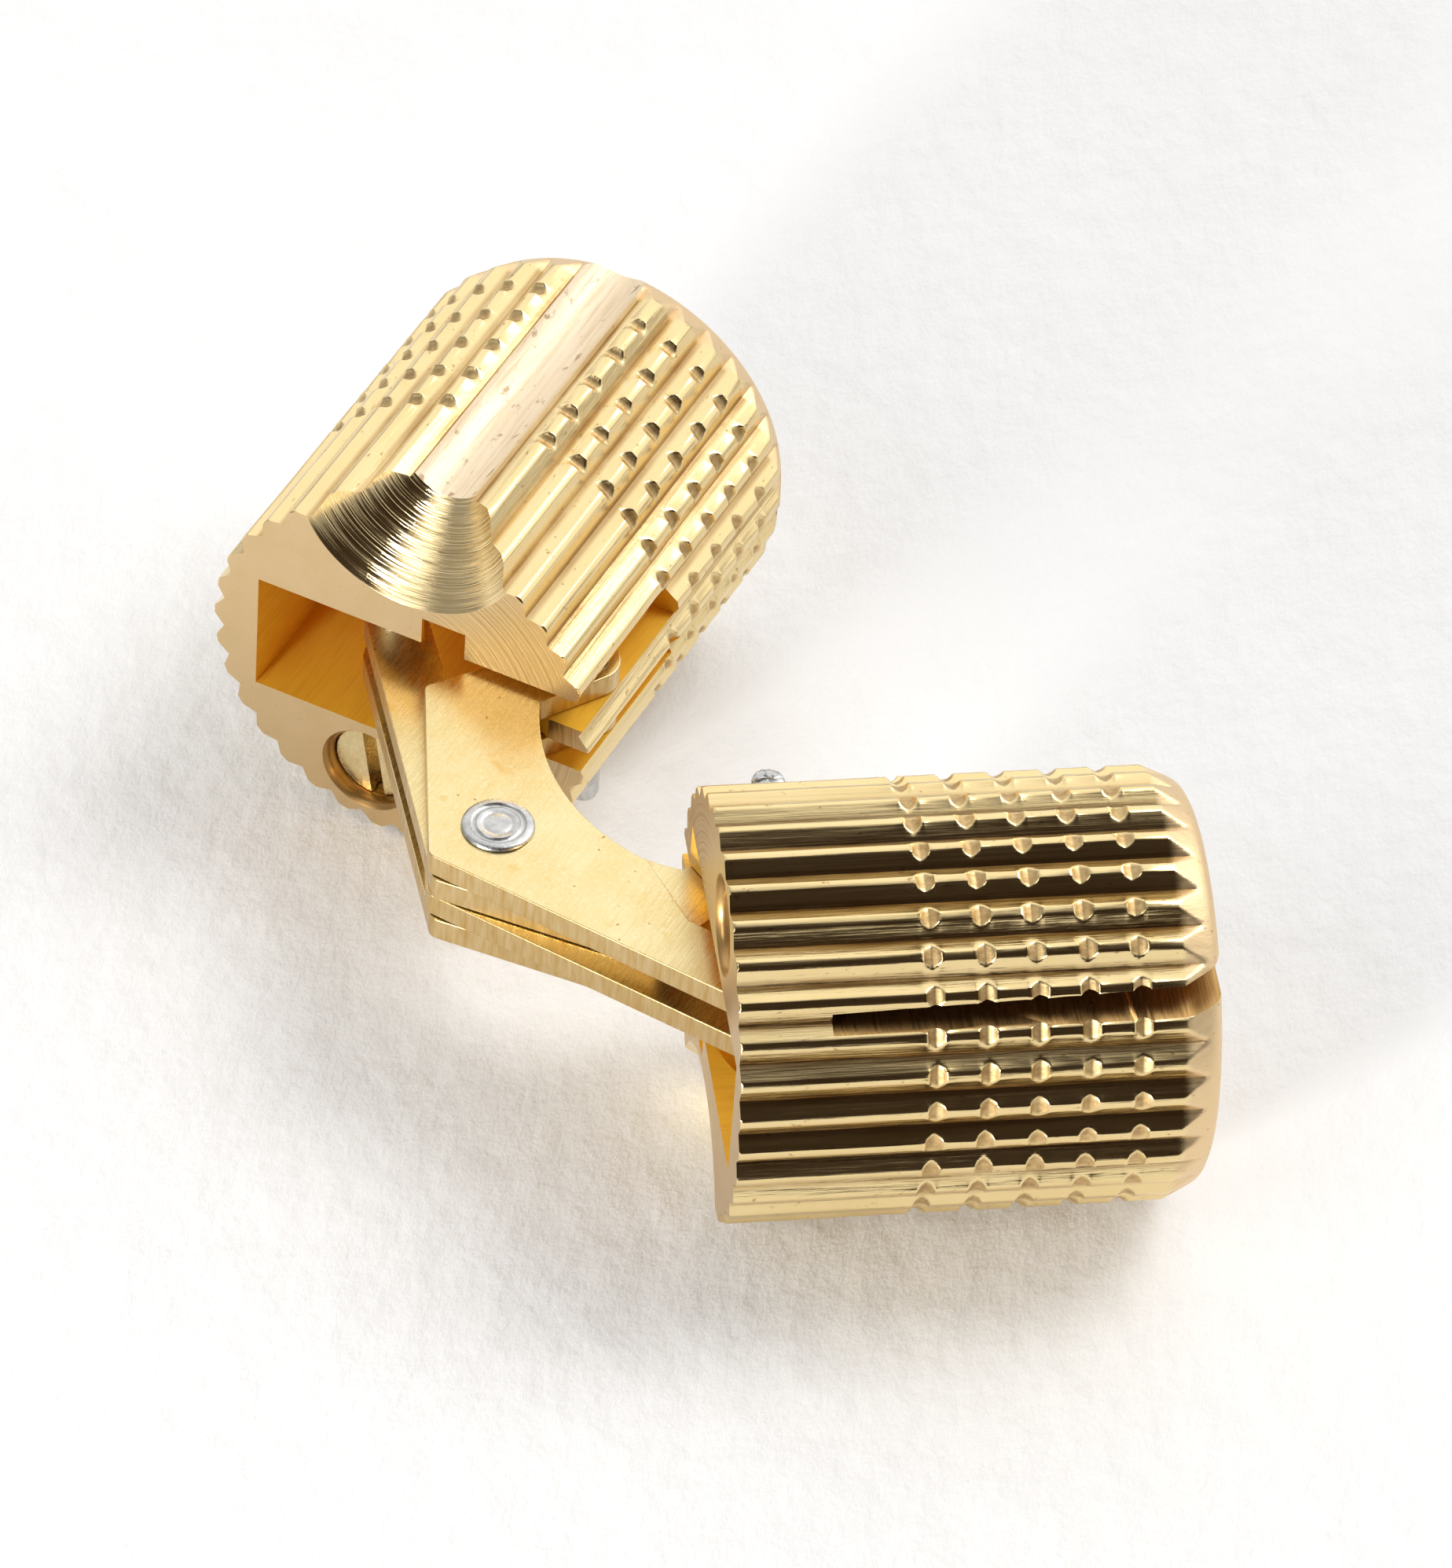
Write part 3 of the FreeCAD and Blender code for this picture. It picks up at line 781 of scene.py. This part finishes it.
def pocket_cutters(cuts, fit, finish):
    """Stepped pocket, the two plate slots and the guide pin's groove, as closed prisms."""
    past = CLEAR
    pocket = [(-cuts.outer_wall, -past), (cuts.inner_wall + cuts.lead_in, -past),
              (cuts.inner_wall + cuts.lead_in, 0), (cuts.inner_wall, cuts.lead_in_depth),
              (cuts.inner_wall, cuts.step_depth), (cuts.step_side, cuts.step_depth),
              (cuts.step_side, cuts.depth), (-cuts.outer_wall, cuts.depth)]
    slot = [(cuts.step_side, -past), (past, -past),
            (past, cuts.step_depth), (cuts.step_side, cuts.step_depth)]
    upper = 1.5 * fit.layer_pitch
    lower = -0.5 * fit.layer_pitch
    path_rows, cap_rows = 25, 13
    path = guide_path(path_rows)
    step = np.gradient(path, axis=0)
    step = step / np.linalg.norm(step, axis=1)[:, None]
    side = np.stack((-step[:, 1], step[:, 0]), axis=1)
    turn = np.linspace(0, math.pi, cap_rows)[1:-1, None]
    far_cap = path[-1] + cuts.groove_half * (np.cos(turn) * side[-1] + np.sin(turn) * step[-1])
    near_cap = path[0] - cuts.groove_half * (np.cos(turn) * side[0] + np.sin(turn) * step[0])
    left = path + side * cuts.groove_half
    right = path - side * cuts.groove_half
    groove = np.concatenate((left, far_cap, right[::-1], near_cap))
    end_x, end_y = path[-1]
    run_out = [(end_x - cuts.groove_half, -past), (end_x + cuts.groove_half, -past),
               (end_x + cuts.groove_half, end_y), (end_x - cuts.groove_half, end_y)]
    return [prism("cut_pocket", pocket, -cuts.floor, cuts.roof, finish),
            prism("cut_slot_upper", slot, upper - cuts.slot_half, cuts.roof, finish),
            prism("cut_slot_lower", slot, lower - cuts.slot_half, lower + cuts.slot_half, finish),
            prism("cut_groove", groove, 0.0, cuts.groove_roof, finish),
            prism("cut_run_out", run_out, 0.0, cuts.groove_roof, finish)]


def round_cutters(sizes, cuts, fit, finishes):
    """Wood-screw channel with its countersink, screw hole and pivot pin's hole, as turned profiles."""
    past = 2 * MM
    cone_rows, plain_rows, columns = 24, 13, 128
    sink_depth = cuts.countersink - cuts.channel_radius
    cone_y = np.linspace(-past, sink_depth, cone_rows)
    cone = np.column_stack((cuts.countersink - cone_y, cone_y))
    plain_y = np.linspace(sink_depth, sizes.length + past, plain_rows + 1)[1:]
    plain = np.column_stack((np.full(plain_rows, cuts.channel_radius), plain_y))
    points = lathe_points(np.concatenate((cone, plain)), columns, "y")
    points[..., 2] += cuts.channel_height
    faces = tube_faces(len(points), columns)
    indices = np.ones(len(faces), dtype=np.int32)
    indices[:(cone_rows - 1) * columns] = 0
    both = [finishes["countersink"], finishes["channel"]]
    channel = new_object("cut_channel", points, faces, both, indices)
    hole_rows, hole_columns, pin_columns = 130, 72, 48
    y = np.linspace(-past, cuts.hole_depth, hole_rows)
    thread = cuts.hole_thread * np.abs((y / fit.thread_pitch) % 1 * 2 - 1)
    r = cuts.hole_radius - thread + np.maximum(cuts.hole_mouth - y, 0)
    hole_points = lathe_points(np.column_stack((r, y)), hole_columns, "y")
    hole_points = hole_points + np.array((fit.screw_side, 0, fit.screw_height))
    hole = new_object("cut_hole", hole_points, tube_faces(hole_rows, hole_columns), [finishes["hole"]])
    pin_profile = [(cuts.pin_hole, -CLEAR), (cuts.pin_hole, cuts.pin_hole_top)]
    pin = lathe_points(pin_profile, pin_columns, "z") + PIVOT
    pin_hole = new_object("cut_pin", pin, tube_faces(2, pin_columns), [finishes["hole"]])
    return [channel, hole, pin_hole]


def kerf_cutter(sizes, cuts, finish):
    """Saw cut across the whole barrel: one side straight, the other spread outwards towards the back."""
    past = 3 * MM
    far = sizes.length + past
    spread = (cuts.kerf_back - cuts.kerf_front) / (sizes.length - cuts.kerf_start)
    y = np.array((cuts.kerf_start, far, far, cuts.kerf_start))
    drop = np.array((cuts.kerf_front, cuts.kerf_front + spread * (far - cuts.kerf_start), 0.0, 0.0))
    rows = [np.column_stack((np.full(4, x), y, cuts.kerf_top - drop)) for x in (-CLEAR, CLEAR)]
    return new_object("cut_kerf", np.stack(rows), tube_faces(2, 4), [finish])


def barrel_marks(mesh, sizes, phase):
    """Vertex marks for the finish: the turned back end, the notches' pits, which are tarnished and
    darkened with painted shade, and the valleys' floors, which get painted shade.
    """
    co = mesh_points(mesh)
    angle = np.arctan2(co[:, 2], co[:, 0]) - phase
    r = np.hypot(co[:, 0], co[:, 2])
    fall = ridge_height(angle, sizes)
    pitch = 2 * math.pi / sizes.ridges
    floor, _ = notch_floor_radius(co[:, 1], np.rint(angle / pitch).astype(int) % sizes.ridges, sizes)
    pit_fade, pit_skin, end_fade, end_core = 0.1 * MM, 0.02 * MM, 0.3 * MM, 5.5 * MM
    valley_start, valley_fade = 0.6 * sizes.ridge_depth, 0.25 * sizes.ridge_depth
    pit = np.clip((sizes.radius - fall - floor) / pit_fade, 0, 1) * (r < floor + pit_skin)
    turned = np.clip((co[:, 1] - sizes.length + sizes.chamfer_length) / end_fade, 0, 1)
    # Floors of the ridge valleys, marked for painted shade
    valley = np.clip((fall - valley_start) / valley_fade, 0, 1) * (1 - turned)
    marks = {"turned_end": turned * (r > end_core), "notch_pit": pit, "valley_shade": valley}
    for name, values in marks.items():
        mark = mesh.attributes.new(name, "FLOAT", "POINT")
        mark.data.foreach_set("value", values.astype(np.float32))


class HINGE_OT_barrels(bpy.types.Operator):
    """Makes both ridged barrels with their pockets, channels, screw holes and saw cuts"""

    bl_idname = "hinge.make_barrels"
    bl_label = "Make Barrels"

    def execute(self, context):
        scene = context.scene
        sizes, cuts, fit = scene.hinge_barrel, scene.hinge_pocket, scene.hinge_fittings
        colours = scene.hinge_colours
        outside = [ridge_brass(colours), face_brass()]
        milled_and_bounce_lit = pocket_brass()
        finishes = {"countersink": countersink_brass(), "channel": channel_brass(), "hole": kerf_brass()}
        both = (("ridged_barrel_a", "barrel_a", sizes.phase_a),
                ("ridged_barrel_b", "barrel_b", sizes.phase_b))
        for name, body, phase in both:
            barrel = barrel_shell(name, sizes, phase, outside)
            cutters = pocket_cutters(cuts, fit, milled_and_bounce_lit)
            cutters += round_cutters(sizes, cuts, fit, finishes)
            cutters.append(kerf_cutter(sizes, cuts, finishes["hole"]))
            cut_away(barrel, cutters)
            keep_barrel_coordinates(barrel.data)
            barrel_marks(barrel.data, sizes, phase)
            if body == "barrel_b":
                put_points(barrel.data, turned_over(mesh_points(barrel.data)))
            smooth(barrel.data, CREASE)
            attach(barrel, body)
            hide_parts(body)
        return {"FINISHED"}


# Links

MERGE_DISTANCE = 0.002 * MM
FLAT_ANGLE = math.radians(0.5)
BEVEL_ANGLE = math.radians(40)


def plate_from(node_name, name, materials, rounding):
    """Stamped plate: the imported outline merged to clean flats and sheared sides, edges rounded."""
    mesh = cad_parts[node_name].data.copy()
    mesh.name = name
    mesh.materials.clear()
    for material in materials:
        mesh.materials.append(material)
    bm = bmesh.new()
    bm.from_mesh(mesh)
    bmesh.ops.remove_doubles(bm, verts=bm.verts, dist=MERGE_DISTANCE)
    bmesh.ops.dissolve_limit(bm, angle_limit=FLAT_ANGLE, verts=bm.verts, edges=bm.edges)
    bm.to_mesh(mesh)
    bm.free()
    sheared = np.abs(face_rises(mesh)) < 0.5
    mesh.polygons.foreach_set("material_index", sheared.astype(np.int32))
    smooth(mesh, CREASE)
    plate = bpy.data.objects.new(name, mesh)
    bpy.context.scene.collection.objects.link(plate)
    soften = plate.modifiers.new("rounded_edges", "BEVEL")
    soften.width = rounding
    soften.segments = 3
    soften.limit_method = "ANGLE"
    soften.angle_limit = BEVEL_ANGLE
    soften.harden_normals = True
    return plate


class HINGE_OT_links(bpy.types.Operator):
    """Makes the four stamped link plates"""

    bl_idname = "hinge.make_links"
    bl_label = "Make Link Plates"

    def execute(self, context):
        scene = context.scene
        materials = [plate_brass(), stamped_edge()]
        sets = (("link_a_upper", "links_a"), ("link_a_lower", "links_a"),
                ("link_b_upper", "links_b"), ("link_b_lower", "links_b"))
        for node, body in sets:
            plate = plate_from(node, "stamped_" + node, materials, scene.hinge_fittings.edge_round)
            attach(plate, body)
            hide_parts(node)
        return {"FINISHED"}


# Pins, rivet and screws


def rivet_profile(fit, under, high):
    """Half profile of the rivet from its top centre to its bottom centre: domed, with two turned rings."""
    head_r = fit.rivet_head
    share = np.array((0.0, 0.2, 0.34, 0.38, 0.42, 0.46, 0.58, 0.63, 0.68, 0.73, 0.78, 0.9, 0.96, 1.0))
    drop = np.array((0.02, 0.02, 0.01, 0.035, 0.035, 0.008, 0.0, 0.06, 0.07, 0.06, 0.0, 0.012, 0.04, 0.1))
    top = np.column_stack((np.maximum(share, 0.001) * head_r, high - drop * MM))
    half = np.concatenate((top, ((head_r, under), (fit.rivet_radius, under))))
    return np.concatenate((half, half[::-1] * np.array((1.0, -1.0))))


class HINGE_OT_pins(bpy.types.Operator):
    """Makes the centre rivet, the pivot pins and the guide pins"""

    bl_idname = "hinge.make_pins"
    bl_label = "Make Rivet and Pins"

    def execute(self, context):
        scene = context.scene
        fit = scene.hinge_fittings
        material = pin_steel(scene.hinge_colours)
        _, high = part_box("centre_rivet")
        under_head = 1.5 * fit.layer_pitch + fit.plate_half + fit.head_gap
        profile = rivet_profile(fit, under_head, high.z)
        columns = 96
        points = lathe_points(profile, columns, "z") + RIVET
        rivet = new_object("turned_rivet", points, tube_faces(len(profile), columns), [material])
        smooth(rivet.data, PIN_CREASE)
        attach(rivet, "links_a")
        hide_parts("centre_rivet")
        for node, body in (("pivot_pin_a", "barrel_a"), ("pivot_pin_b", "barrel_b")):
            self.pin(node, body, fit.pivot_radius, material, True)
        for node, body in (("guide_pin_a", "links_a"), ("guide_pin_b", "links_b")):
            self.pin(node, body, fit.guide_radius, material, False)
        return {"FINISHED"}

    def pin(self, node, body, radius, material, rough):
        """Pin as r(angle, z): plain wire with rounded ends, dented by the cutters if rough."""
        low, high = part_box(node)
        middle = (np.array(low) + np.array(high)) / 2
        half = (high.z - low.z) / 2
        inset = np.array((0.999, 0.9, 0.6, 0.3, 0.12, 0.04, 0.0)) * 0.99
        drop = np.array((0.0, 0.0, 0.01, 0.02, 0.05, 0.1, 0.18)) * MM
        end = np.column_stack((radius * (1 - inset), half - drop))
        profile = np.concatenate((end, end[::-1] * np.array((1.0, -1.0))))
        columns, dent_depth, dent_reach = 40, 0.035 * MM, 0.2 * MM
        points = lathe_points(profile, columns, "z")
        if rough:
            random = np.random.default_rng(5)
            dent = random.normal(0, dent_depth, points.shape[:2])
            outer = np.abs(points[..., 2]) > half - dent_reach
            points[..., 2] -= np.sign(points[..., 2]) * np.abs(dent) * outer
        pin = new_object("cut_" + node, points + middle, tube_faces(len(profile), columns), [material])
        smooth(pin.data, PIN_CREASE)
        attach(pin, body)
        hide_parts(node)


class HINGE_OT_screws(bpy.types.Operator):
    """Makes the two slotted expanding screws with their threads"""

    bl_idname = "hinge.make_screws"
    bl_label = "Make Screws"

    def execute(self, context):
        scene = context.scene
        fit = scene.hinge_fittings
        material = screw_brass()
        screw = self.threaded(fit, material)
        cut_away(screw, [self.slot_cutter(fit, material)])
        keep_barrel_coordinates(screw.data)
        smooth(screw.data, SCREW_CREASE)
        other = twin_of(screw, "threaded_screw_b")
        both = ((screw, "screw_a", "expanding_screw_a"), (other, "screw_b", "expanding_screw_b"))
        for piece, body, node in both:
            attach(piece, body)
            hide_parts(node)
        return {"FINISHED"}

    def threaded(self, fit, material):
        """Screw as r(angle, y) = R - depth * triangle(y / pitch - angle / turn), tapering at its tip."""
        low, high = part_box("expanding_screw_a")
        length = high.y - low.y
        rows, columns = 150, 48
        start, run_in, run_out = 0.2 * MM, 0.5 * MM, 0.4 * MM
        tip_length, tip_drop, edge_break = 1.6 * MM, 0.75 * MM, 0.08 * MM
        head = np.array((0, 0.02, 0.06, 0.12)) * MM
        y = np.concatenate((head, np.linspace(0.16 * MM, length, rows)))
        a = np.linspace(0, 2 * math.pi, columns, endpoint=False)
        along, around = np.meshgrid(y, a, indexing="ij")
        wave = np.abs((along / fit.thread_pitch - around / (2 * math.pi)) % 1 * 2 - 1)
        fade = np.clip((along - start) / run_in, 0, 1) * np.clip((length - along) / run_out, 0, 1)
        taper = np.clip((along - (length - tip_length)) / tip_length, 0, 1) * tip_drop
        edge = edge_break * np.clip(1 - along / edge_break, 0, 1)
        r = fit.screw_radius - fit.thread_depth * wave * fade - taper - edge
        points = np.stack((fit.screw_side + r * np.cos(around), low.y + along,
                           fit.screw_height + r * np.sin(around)), axis=-1)
        return new_object("threaded_screw_a", points, tube_faces(len(y), columns), [material])

    def slot_cutter(self, fit, material):
        """Driver slot: a flat bar across the head, turned about the screw's axis."""
        low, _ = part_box("expanding_screw_a")
        w, far = fit.slot_width / 2, 2 * fit.screw_radius
        c, s = math.cos(fit.slot_turn), math.sin(fit.slot_turn)
        flat = np.array(((-w, -far), (w, -far), (w, far), (-w, far)))
        turned = flat @ np.array(((c, -s), (s, c)))
        x, z = fit.screw_side + turned[:, 0], fit.screw_height + turned[:, 1]
        rows = [np.column_stack((x, np.full(4, y), z)) for y in (low.y - MM, low.y + fit.slot_depth)]
        return new_object("cut_driver_slot", np.stack(rows), tube_faces(2, 4), [material])


# Stage

GROUND_HALF = 0.7
GROUND_ROWS = 21
ROOM_NEAR = (0.32, 0.31, 0.30)
ROOM_FAR = (1.32, 1.32, 1.32)
ROOM_TURN = (-0.5, 0.75)
LOW_WALLS = (0.16, 0.13, 0.10)
WALL_TOP = 0.26
WALL_SHARE = 0.75
OPENING_COLOUR = (0.035, 0.023, 0.015)
OPENING_TOWARD = (0.40, -0.68, 0.615)
OPENING_EDGE = math.cos(math.radians(66))
OPENING_CORE = math.cos(math.radians(28))
CAMERA_TARGET = np.array((11.5417, 1.0118, 0.0)) * MM


def camera_axes(stage):
    """Right, up and back directions of the camera, with its roll."""
    a, e, t = stage.azimuth, stage.elevation, stage.roll
    back = np.array((math.sin(a) * math.cos(e), -math.cos(a) * math.cos(e), math.sin(e)))
    right = np.array((math.cos(a), math.sin(a), 0.0))
    up = np.cross(back, right)
    return math.cos(t) * right + math.sin(t) * up, math.cos(t) * up - math.sin(t) * right, back


class HINGE_OT_stage(bpy.types.Operator):
    """Makes the white ground, the soft light and the camera"""

    bl_idname = "hinge.make_stage"
    bl_label = "Make Stage"

    def execute(self, context):
        scene = context.scene
        stage = scene.hinge_stage
        self.ground(scene)
        self.sky(scene, stage)
        self.lamps(scene, stage)
        self.camera(scene, stage)
        scene.view_settings.view_transform = "Standard"
        return {"FINISHED"}

    def ground(self, scene):
        """Flat white ground: a grid p = (x, y, floor height)."""
        x = np.linspace(-GROUND_HALF, GROUND_HALF, GROUND_ROWS)
        u, v = np.meshgrid(x, x, indexing="ij")
        points = np.stack((u, v, np.full_like(u, cad_low.z)), axis=-1)
        faces = grid_faces(GROUND_ROWS, GROUND_ROWS, False).tolist()
        ground = new_object("ground", points, faces, [paper(scene.hinge_colours)])
        if face_rises(ground.data).mean() < 0:
            ground.data.flip_normals()

    def sky(self, scene, stage):
        """Soft white room, brightest on its far side, with low walls and one dark opening in front."""
        world = bpy.data.worlds.new("soft_room")
        scene.world = world
        world.use_nodes = True
        place = add_node(world, "ShaderNodeTexCoord").outputs["Generated"]
        toward = add_node(world, "ShaderNodeVectorMath", operation="DOT_PRODUCT")
        toward.inputs[1].default_value = OPENING_TOWARD
        link_nodes(world, place, toward, 0)
        axes = add_node(world, "ShaderNodeSeparateXYZ")
        link_nodes(world, place, axes, 0)
        far = map_range(world, axes.outputs["Y"], *ROOM_TURN, 0.0, 1.0, "SMOOTHSTEP")
        low = map_range(world, axes.outputs["Z"], 0.0, WALL_TOP, WALL_SHARE, 0.0, "SMOOTHSTEP")
        facing = toward.outputs["Value"]
        opening = map_range(world, facing, OPENING_EDGE, OPENING_CORE, 0.0, 1.0, "SMOOTHSTEP")
        room = mix_colour(world, far, ROOM_NEAR, ROOM_FAR)
        room = mix_colour(world, low, room, LOW_WALLS)
        room = mix_colour(world, opening, room, OPENING_COLOUR)
        background = world.node_tree.nodes["Background"]
        background.inputs["Strength"].default_value = stage.sky
        link_nodes(world, room, background, "Color")

    def lamps(self, scene, stage):
        """Two large soft lamps, behind on the right and in front on the left, and a low one in front."""
        self.hang(scene, "soft_lamp", stage.lamp, size=0.3, place=(0.22, 0.28, 0.5))
        self.hang(scene, "front_lamp", stage.front_lamp, size=0.24, place=(-0.13, -0.31, 0.30))
        self.hang(scene, "pocket_lamp", stage.pocket_lamp, size=0.06, place=(-0.06, -0.37, 0.06))

    def hang(self, scene, name, energy, size, place):
        """Round soft lamp at a place, facing the origin."""
        light = bpy.data.lights.new(name, "AREA")
        light.shape = "DISK"
        light.size = size
        light.energy = energy
        lamp = bpy.data.objects.new(name, light)
        back = np.array(place) / np.linalg.norm(place)
        right = np.cross((0.0, 0.0, 1.0), back)
        right = right / np.linalg.norm(right)
        axes = np.column_stack((right, np.cross(back, right), back))
        lamp.matrix_world = Matrix.Translation(place) @ Matrix(axes.tolist()).to_4x4()
        scene.collection.objects.link(lamp)

    def camera(self, scene, stage):
        """Camera on the line of sight through the middle of the hinge."""
        right, up, back = camera_axes(stage)
        place = CAMERA_TARGET + back * stage.distance
        data = bpy.data.cameras.new("camera")
        data.sensor_fit = "HORIZONTAL"
        data.sensor_width = FILM_WIDTH
        data.lens = stage.lens
        data.clip_start = 0.01
        data.clip_end = 10.0
        camera = bpy.data.objects.new("camera", data)
        axes = np.column_stack((right, up, back))
        camera.matrix_world = Matrix.Translation(place) @ Matrix(axes.tolist()).to_4x4()
        scene.collection.objects.link(camera)
        scene.camera = camera


class HINGE_PT_panel(bpy.types.Panel):
    """Sizes, colours and steps of the hinge"""

    bl_idname = "HINGE_PT_panel"
    bl_label = "Barrel Hinge"
    bl_space_type = "VIEW_3D"
    bl_region_type = "UI"
    bl_category = "Barrel Hinge"

    def draw(self, context):
        layout = self.layout
        for operator in OPERATORS:
            layout.operator(operator.bl_idname)
        for group in GROUPS:
            values = getattr(context.scene, group)
            box = layout.box()
            for key in values.bl_rna.properties.keys():
                if key not in {"rna_type", "name"}:
                    box.prop(values, key)


GROUPS = {
    "hinge_barrel": BarrelSizes,
    "hinge_pocket": PocketSizes,
    "hinge_fittings": FittingSizes,
    "hinge_colours": HingeColours,
    "hinge_stage": StageSettings,
}
OPERATORS = (HINGE_OT_barrels, HINGE_OT_links, HINGE_OT_pins, HINGE_OT_screws, HINGE_OT_stage)
CLASSES = tuple(GROUPS.values()) + OPERATORS + (HINGE_PT_panel,)


def register():
    """Registers the classes and hangs the settings on the scene."""
    for item in CLASSES:
        bpy.utils.register_class(item)
    for name, group in GROUPS.items():
        setattr(bpy.types.Scene, name, bpy.props.PointerProperty(type=group))


def unregister():
    """Takes the settings and classes away again."""
    for name in GROUPS:
        delattr(bpy.types.Scene, name)
    for item in reversed(CLASSES):
        bpy.utils.unregister_class(item)


def main():
    """Makes every piece and the stage."""
    register()
    bpy.ops.hinge.make_barrels()
    bpy.ops.hinge.make_links()
    bpy.ops.hinge.make_pins()
    bpy.ops.hinge.make_screws()
    bpy.ops.hinge.make_stage()


if __name__ == "__main__":
    main()
